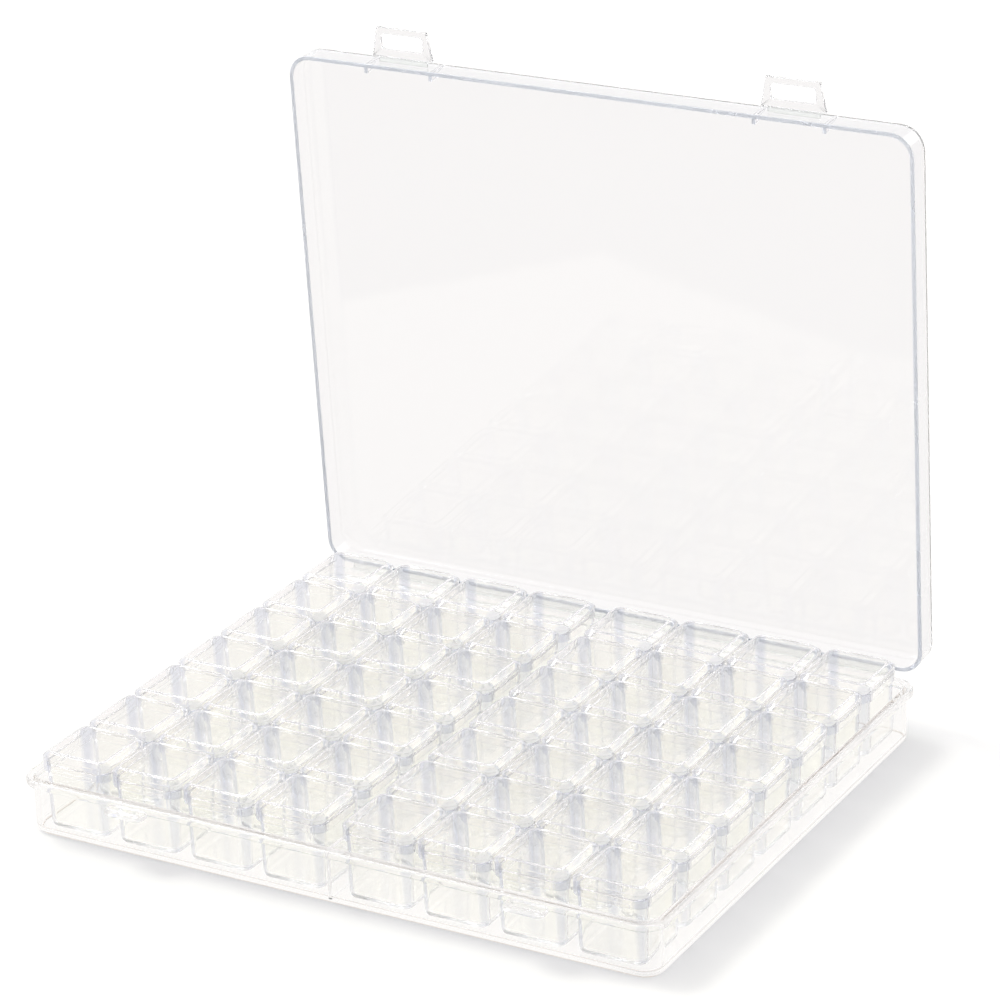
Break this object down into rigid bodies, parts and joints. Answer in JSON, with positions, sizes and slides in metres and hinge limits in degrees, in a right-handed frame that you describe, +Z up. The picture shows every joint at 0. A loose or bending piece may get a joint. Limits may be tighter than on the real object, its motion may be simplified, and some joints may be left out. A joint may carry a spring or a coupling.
{
  "type": "bead storage box",
  "caption": "Clear flat storage box for beads: hinged case lid with loop latches over a shallow tray that holds two banks of lift-out strips of small cups with flip lids.",
  "frame": {"origin": "middle of the tray's underside, on the surface the box stands on", "axes": "+X along the front edge to the right, +Y to the hinge at the back, +Z up"},
  "size_m": [0.2118, 0.1902, 0.2045],
  "materials": {
    "tray_polypropylene": "clear moulded polypropylene, glossy",
    "case_lid_polypropylene": "clear moulded polypropylene, glossy",
    "latch_polypropylene": "clear moulded polypropylene, glossy",
    "cup_polypropylene": "clear moulded polypropylene, slightly milky",
    "cup_lid_polypropylene": "clear moulded polypropylene, glossy"
  },
  "bodies": {
    "tray": {"tray": "tray_polypropylene"},
    "case_lid": {"case_lid": "case_lid_polypropylene"},
    "latch_left": {"latch_left": "latch_polypropylene"},
    "latch_right": {"latch_right": "latch_polypropylene"},
    "cup_strip_left_1": {"cup_strip_left_1": "cup_polypropylene"},
    "cup_lid_left_1_1": {"cup_lid_left_1_1": "cup_lid_polypropylene"},
    "cup_lid_left_1_2": {"cup_lid_left_1_2": "cup_lid_polypropylene"},
    "cup_lid_left_1_3": {"cup_lid_left_1_3": "cup_lid_polypropylene"},
    "cup_lid_left_1_4": {"cup_lid_left_1_4": "cup_lid_polypropylene"},
    "cup_strip_left_2": {"cup_strip_left_2": "cup_polypropylene"},
    "cup_lid_left_2_1": {"cup_lid_left_2_1": "cup_lid_polypropylene"},
    "cup_lid_left_2_2": {"cup_lid_left_2_2": "cup_lid_polypropylene"},
    "cup_lid_left_2_3": {"cup_lid_left_2_3": "cup_lid_polypropylene"},
    "cup_lid_left_2_4": {"cup_lid_left_2_4": "cup_lid_polypropylene"},
    "cup_strip_left_3": {"cup_strip_left_3": "cup_polypropylene"},
    "cup_lid_left_3_1": {"cup_lid_left_3_1": "cup_lid_polypropylene"},
    "cup_lid_left_3_2": {"cup_lid_left_3_2": "cup_lid_polypropylene"},
    "cup_lid_left_3_3": {"cup_lid_left_3_3": "cup_lid_polypropylene"},
    "cup_lid_left_3_4": {"cup_lid_left_3_4": "cup_lid_polypropylene"},
    "cup_strip_left_4": {"cup_strip_left_4": "cup_polypropylene"},
    "cup_lid_left_4_1": {"cup_lid_left_4_1": "cup_lid_polypropylene"},
    "cup_lid_left_4_2": {"cup_lid_left_4_2": "cup_lid_polypropylene"},
    "cup_lid_left_4_3": {"cup_lid_left_4_3": "cup_lid_polypropylene"},
    "cup_lid_left_4_4": {"cup_lid_left_4_4": "cup_lid_polypropylene"},
    "cup_strip_left_5": {"cup_strip_left_5": "cup_polypropylene"},
    "cup_lid_left_5_1": {"cup_lid_left_5_1": "cup_lid_polypropylene"},
    "cup_lid_left_5_2": {"cup_lid_left_5_2": "cup_lid_polypropylene"},
    "cup_lid_left_5_3": {"cup_lid_left_5_3": "cup_lid_polypropylene"},
    "cup_lid_left_5_4": {"cup_lid_left_5_4": "cup_lid_polypropylene"},
    "cup_strip_left_6": {"cup_strip_left_6": "cup_polypropylene"},
    "cup_lid_left_6_1": {"cup_lid_left_6_1": "cup_lid_polypropylene"},
    "cup_lid_left_6_2": {"cup_lid_left_6_2": "cup_lid_polypropylene"},
    "cup_lid_left_6_3": {"cup_lid_left_6_3": "cup_lid_polypropylene"},
    "cup_lid_left_6_4": {"cup_lid_left_6_4": "cup_lid_polypropylene"},
    "cup_strip_left_7": {"cup_strip_left_7": "cup_polypropylene"},
    "cup_lid_left_7_1": {"cup_lid_left_7_1": "cup_lid_polypropylene"},
    "cup_lid_left_7_2": {"cup_lid_left_7_2": "cup_lid_polypropylene"},
    "cup_lid_left_7_3": {"cup_lid_left_7_3": "cup_lid_polypropylene"},
    "cup_lid_left_7_4": {"cup_lid_left_7_4": "cup_lid_polypropylene"},
    "cup_strip_right_1": {"cup_strip_right_1": "cup_polypropylene"},
    "cup_lids_right_1": {"cup_lids_right_1": "cup_lid_polypropylene"},
    "cup_strip_right_2": {"cup_strip_right_2": "cup_polypropylene"},
    "cup_lids_right_2": {"cup_lids_right_2": "cup_lid_polypropylene"},
    "cup_strip_right_3": {"cup_strip_right_3": "cup_polypropylene"},
    "cup_lids_right_3": {"cup_lids_right_3": "cup_lid_polypropylene"},
    "cup_strip_right_4": {"cup_strip_right_4": "cup_polypropylene"},
    "cup_lids_right_4": {"cup_lids_right_4": "cup_lid_polypropylene"},
    "cup_strip_right_5": {"cup_strip_right_5": "cup_polypropylene"},
    "cup_lids_right_5": {"cup_lids_right_5": "cup_lid_polypropylene"},
    "cup_strip_right_6": {"cup_strip_right_6": "cup_polypropylene"},
    "cup_lids_right_6": {"cup_lids_right_6": "cup_lid_polypropylene"},
    "cup_strip_right_7": {"cup_strip_right_7": "cup_polypropylene"},
    "cup_lids_right_7": {"cup_lids_right_7": "cup_lid_polypropylene"}
  },
  "joints": [
    {"name": "case_lid_hinge", "type": "hinge", "parent": "tray", "child": "case_lid", "pos_m": [0, 0.0884, 0.01785], "axis": [-1, 0, 0], "range_deg": [-87, 93]},
    {"name": "latch_left_hinge", "type": "hinge", "parent": "case_lid", "child": "latch_left", "pos_m": [-0.066, 0.08318, 0.19482], "axis": [-1, 0, 0], "range_deg": [-90, 0]},
    {"name": "latch_right_hinge", "type": "hinge", "parent": "case_lid", "child": "latch_right", "pos_m": [0.066, 0.08318, 0.19482], "axis": [-1, 0, 0], "range_deg": [-90, 0]},
    {"name": "lift_left_1", "type": "slide", "parent": "tray", "child": "cup_strip_left_1", "axis": [0, 0, 1], "range_m": [0, 0.03]},
    {"name": "lid_hinge_left_1_1", "type": "hinge", "parent": "cup_strip_left_1", "child": "cup_lid_left_1_1", "pos_m": [-0.0883, -0.06035, 0.0243], "axis": [-1, 0, 0], "range_deg": [0, 105]},
    {"name": "lid_hinge_left_1_2", "type": "hinge", "parent": "cup_strip_left_1", "child": "cup_lid_left_1_2", "pos_m": [-0.0637, -0.06035, 0.0243], "axis": [-1, 0, 0], "range_deg": [0, 105]},
    {"name": "lid_hinge_left_1_3", "type": "hinge", "parent": "cup_strip_left_1", "child": "cup_lid_left_1_3", "pos_m": [-0.0391, -0.06035, 0.0243], "axis": [-1, 0, 0], "range_deg": [0, 105]},
    {"name": "lid_hinge_left_1_4", "type": "hinge", "parent": "cup_strip_left_1", "child": "cup_lid_left_1_4", "pos_m": [-0.0145, -0.06035, 0.0243], "axis": [-1, 0, 0], "range_deg": [0, 105]},
    {"name": "lift_left_2", "type": "slide", "parent": "tray", "child": "cup_strip_left_2", "axis": [0, 0, 1], "range_m": [0, 0.03]},
    {"name": "lid_hinge_left_2_1", "type": "hinge", "parent": "cup_strip_left_2", "child": "cup_lid_left_2_1", "pos_m": [-0.0883, -0.03635, 0.0243], "axis": [-1, 0, 0], "range_deg": [0, 105]},
    {"name": "lid_hinge_left_2_2", "type": "hinge", "parent": "cup_strip_left_2", "child": "cup_lid_left_2_2", "pos_m": [-0.0637, -0.03635, 0.0243], "axis": [-1, 0, 0], "range_deg": [0, 105]},
    {"name": "lid_hinge_left_2_3", "type": "hinge", "parent": "cup_strip_left_2", "child": "cup_lid_left_2_3", "pos_m": [-0.0391, -0.03635, 0.0243], "axis": [-1, 0, 0], "range_deg": [0, 105]},
    {"name": "lid_hinge_left_2_4", "type": "hinge", "parent": "cup_strip_left_2", "child": "cup_lid_left_2_4", "pos_m": [-0.0145, -0.03635, 0.0243], "axis": [-1, 0, 0], "range_deg": [0, 105]},
    {"name": "lift_left_3", "type": "slide", "parent": "tray", "child": "cup_strip_left_3", "axis": [0, 0, 1], "range_m": [0, 0.03]},
    {"name": "lid_hinge_left_3_1", "type": "hinge", "parent": "cup_strip_left_3", "child": "cup_lid_left_3_1", "pos_m": [-0.0883, -0.01235, 0.0243], "axis": [-1, 0, 0], "range_deg": [0, 105]},
    {"name": "lid_hinge_left_3_2", "type": "hinge", "parent": "cup_strip_left_3", "child": "cup_lid_left_3_2", "pos_m": [-0.0637, -0.01235, 0.0243], "axis": [-1, 0, 0], "range_deg": [0, 105]},
    {"name": "lid_hinge_left_3_3", "type": "hinge", "parent": "cup_strip_left_3", "child": "cup_lid_left_3_3", "pos_m": [-0.0391, -0.01235, 0.0243], "axis": [-1, 0, 0], "range_deg": [0, 105]},
    {"name": "lid_hinge_left_3_4", "type": "hinge", "parent": "cup_strip_left_3", "child": "cup_lid_left_3_4", "pos_m": [-0.0145, -0.01235, 0.0243], "axis": [-1, 0, 0], "range_deg": [0, 105]},
    {"name": "lift_left_4", "type": "slide", "parent": "tray", "child": "cup_strip_left_4", "axis": [0, 0, 1], "range_m": [0, 0.03]},
    {"name": "lid_hinge_left_4_1", "type": "hinge", "parent": "cup_strip_left_4", "child": "cup_lid_left_4_1", "pos_m": [-0.0883, 0.01165, 0.0243], "axis": [-1, 0, 0], "range_deg": [0, 105]},
    {"name": "lid_hinge_left_4_2", "type": "hinge", "parent": "cup_strip_left_4", "child": "cup_lid_left_4_2", "pos_m": [-0.0637, 0.01165, 0.0243], "axis": [-1, 0, 0], "range_deg": [0, 105]},
    {"name": "lid_hinge_left_4_3", "type": "hinge", "parent": "cup_strip_left_4", "child": "cup_lid_left_4_3", "pos_m": [-0.0391, 0.01165, 0.0243], "axis": [-1, 0, 0], "range_deg": [0, 105]},
    {"name": "lid_hinge_left_4_4", "type": "hinge", "parent": "cup_strip_left_4", "child": "cup_lid_left_4_4", "pos_m": [-0.0145, 0.01165, 0.0243], "axis": [-1, 0, 0], "range_deg": [0, 105]},
    {"name": "lift_left_5", "type": "slide", "parent": "tray", "child": "cup_strip_left_5", "axis": [0, 0, 1], "range_m": [0, 0.03]},
    {"name": "lid_hinge_left_5_1", "type": "hinge", "parent": "cup_strip_left_5", "child": "cup_lid_left_5_1", "pos_m": [-0.0883, 0.03565, 0.0243], "axis": [-1, 0, 0], "range_deg": [0, 105]},
    {"name": "lid_hinge_left_5_2", "type": "hinge", "parent": "cup_strip_left_5", "child": "cup_lid_left_5_2", "pos_m": [-0.0637, 0.03565, 0.0243], "axis": [-1, 0, 0], "range_deg": [0, 105]},
    {"name": "lid_hinge_left_5_3", "type": "hinge", "parent": "cup_strip_left_5", "child": "cup_lid_left_5_3", "pos_m": [-0.0391, 0.03565, 0.0243], "axis": [-1, 0, 0], "range_deg": [0, 105]},
    {"name": "lid_hinge_left_5_4", "type": "hinge", "parent": "cup_strip_left_5", "child": "cup_lid_left_5_4", "pos_m": [-0.0145, 0.03565, 0.0243], "axis": [-1, 0, 0], "range_deg": [0, 105]},
    {"name": "lift_left_6", "type": "slide", "parent": "tray", "child": "cup_strip_left_6", "axis": [0, 0, 1], "range_m": [0, 0.03]},
    {"name": "lid_hinge_left_6_1", "type": "hinge", "parent": "cup_strip_left_6", "child": "cup_lid_left_6_1", "pos_m": [-0.0883, 0.05965, 0.0243], "axis": [-1, 0, 0], "range_deg": [0, 105]},
    {"name": "lid_hinge_left_6_2", "type": "hinge", "parent": "cup_strip_left_6", "child": "cup_lid_left_6_2", "pos_m": [-0.0637, 0.05965, 0.0243], "axis": [-1, 0, 0], "range_deg": [0, 105]},
    {"name": "lid_hinge_left_6_3", "type": "hinge", "parent": "cup_strip_left_6", "child": "cup_lid_left_6_3", "pos_m": [-0.0391, 0.05965, 0.0243], "axis": [-1, 0, 0], "range_deg": [0, 105]},
    {"name": "lid_hinge_left_6_4", "type": "hinge", "parent": "cup_strip_left_6", "child": "cup_lid_left_6_4", "pos_m": [-0.0145, 0.05965, 0.0243], "axis": [-1, 0, 0], "range_deg": [0, 105]},
    {"name": "lift_left_7", "type": "slide", "parent": "tray", "child": "cup_strip_left_7", "axis": [0, 0, 1], "range_m": [0, 0.03]},
    {"name": "lid_hinge_left_7_1", "type": "hinge", "parent": "cup_strip_left_7", "child": "cup_lid_left_7_1", "pos_m": [-0.0883, 0.08365, 0.0243], "axis": [-1, 0, 0], "range_deg": [0, 105]},
    {"name": "lid_hinge_left_7_2", "type": "hinge", "parent": "cup_strip_left_7", "child": "cup_lid_left_7_2", "pos_m": [-0.0637, 0.08365, 0.0243], "axis": [-1, 0, 0], "range_deg": [0, 105]},
    {"name": "lid_hinge_left_7_3", "type": "hinge", "parent": "cup_strip_left_7", "child": "cup_lid_left_7_3", "pos_m": [-0.0391, 0.08365, 0.0243], "axis": [-1, 0, 0], "range_deg": [0, 105]},
    {"name": "lid_hinge_left_7_4", "type": "hinge", "parent": "cup_strip_left_7", "child": "cup_lid_left_7_4", "pos_m": [-0.0145, 0.08365, 0.0243], "axis": [-1, 0, 0], "range_deg": [0, 105]},
    {"name": "lift_right_1", "type": "slide", "parent": "tray", "child": "cup_strip_right_1", "axis": [0, 0, 1], "range_m": [0, 0.03]},
    {"name": "lids_hinge_right_1", "type": "hinge", "parent": "cup_strip_right_1", "child": "cup_lids_right_1", "pos_m": [0.0514, -0.06035, 0.0243], "axis": [-1, 0, 0], "range_deg": [0, 105]},
    {"name": "lift_right_2", "type": "slide", "parent": "tray", "child": "cup_strip_right_2", "axis": [0, 0, 1], "range_m": [0, 0.03]},
    {"name": "lids_hinge_right_2", "type": "hinge", "parent": "cup_strip_right_2", "child": "cup_lids_right_2", "pos_m": [0.0514, -0.03635, 0.0243], "axis": [-1, 0, 0], "range_deg": [0, 105]},
    {"name": "lift_right_3", "type": "slide", "parent": "tray", "child": "cup_strip_right_3", "axis": [0, 0, 1], "range_m": [0, 0.03]},
    {"name": "lids_hinge_right_3", "type": "hinge", "parent": "cup_strip_right_3", "child": "cup_lids_right_3", "pos_m": [0.0514, -0.01235, 0.0243], "axis": [-1, 0, 0], "range_deg": [0, 105]},
    {"name": "lift_right_4", "type": "slide", "parent": "tray", "child": "cup_strip_right_4", "axis": [0, 0, 1], "range_m": [0, 0.03]},
    {"name": "lids_hinge_right_4", "type": "hinge", "parent": "cup_strip_right_4", "child": "cup_lids_right_4", "pos_m": [0.0514, 0.01165, 0.0243], "axis": [-1, 0, 0], "range_deg": [0, 105]},
    {"name": "lift_right_5", "type": "slide", "parent": "tray", "child": "cup_strip_right_5", "axis": [0, 0, 1], "range_m": [0, 0.03]},
    {"name": "lids_hinge_right_5", "type": "hinge", "parent": "cup_strip_right_5", "child": "cup_lids_right_5", "pos_m": [0.0514, 0.03565, 0.0243], "axis": [-1, 0, 0], "range_deg": [0, 105]},
    {"name": "lift_right_6", "type": "slide", "parent": "tray", "child": "cup_strip_right_6", "axis": [0, 0, 1], "range_m": [0, 0.03]},
    {"name": "lids_hinge_right_6", "type": "hinge", "parent": "cup_strip_right_6", "child": "cup_lids_right_6", "pos_m": [0.0514, 0.05965, 0.0243], "axis": [-1, 0, 0], "range_deg": [0, 105]},
    {"name": "lift_right_7", "type": "slide", "parent": "tray", "child": "cup_strip_right_7", "axis": [0, 0, 1], "range_m": [0, 0.03]},
    {"name": "lids_hinge_right_7", "type": "hinge", "parent": "cup_strip_right_7", "child": "cup_lids_right_7", "pos_m": [0.0514, 0.08365, 0.0243], "axis": [-1, 0, 0], "range_deg": [0, 105]}
  ]
}
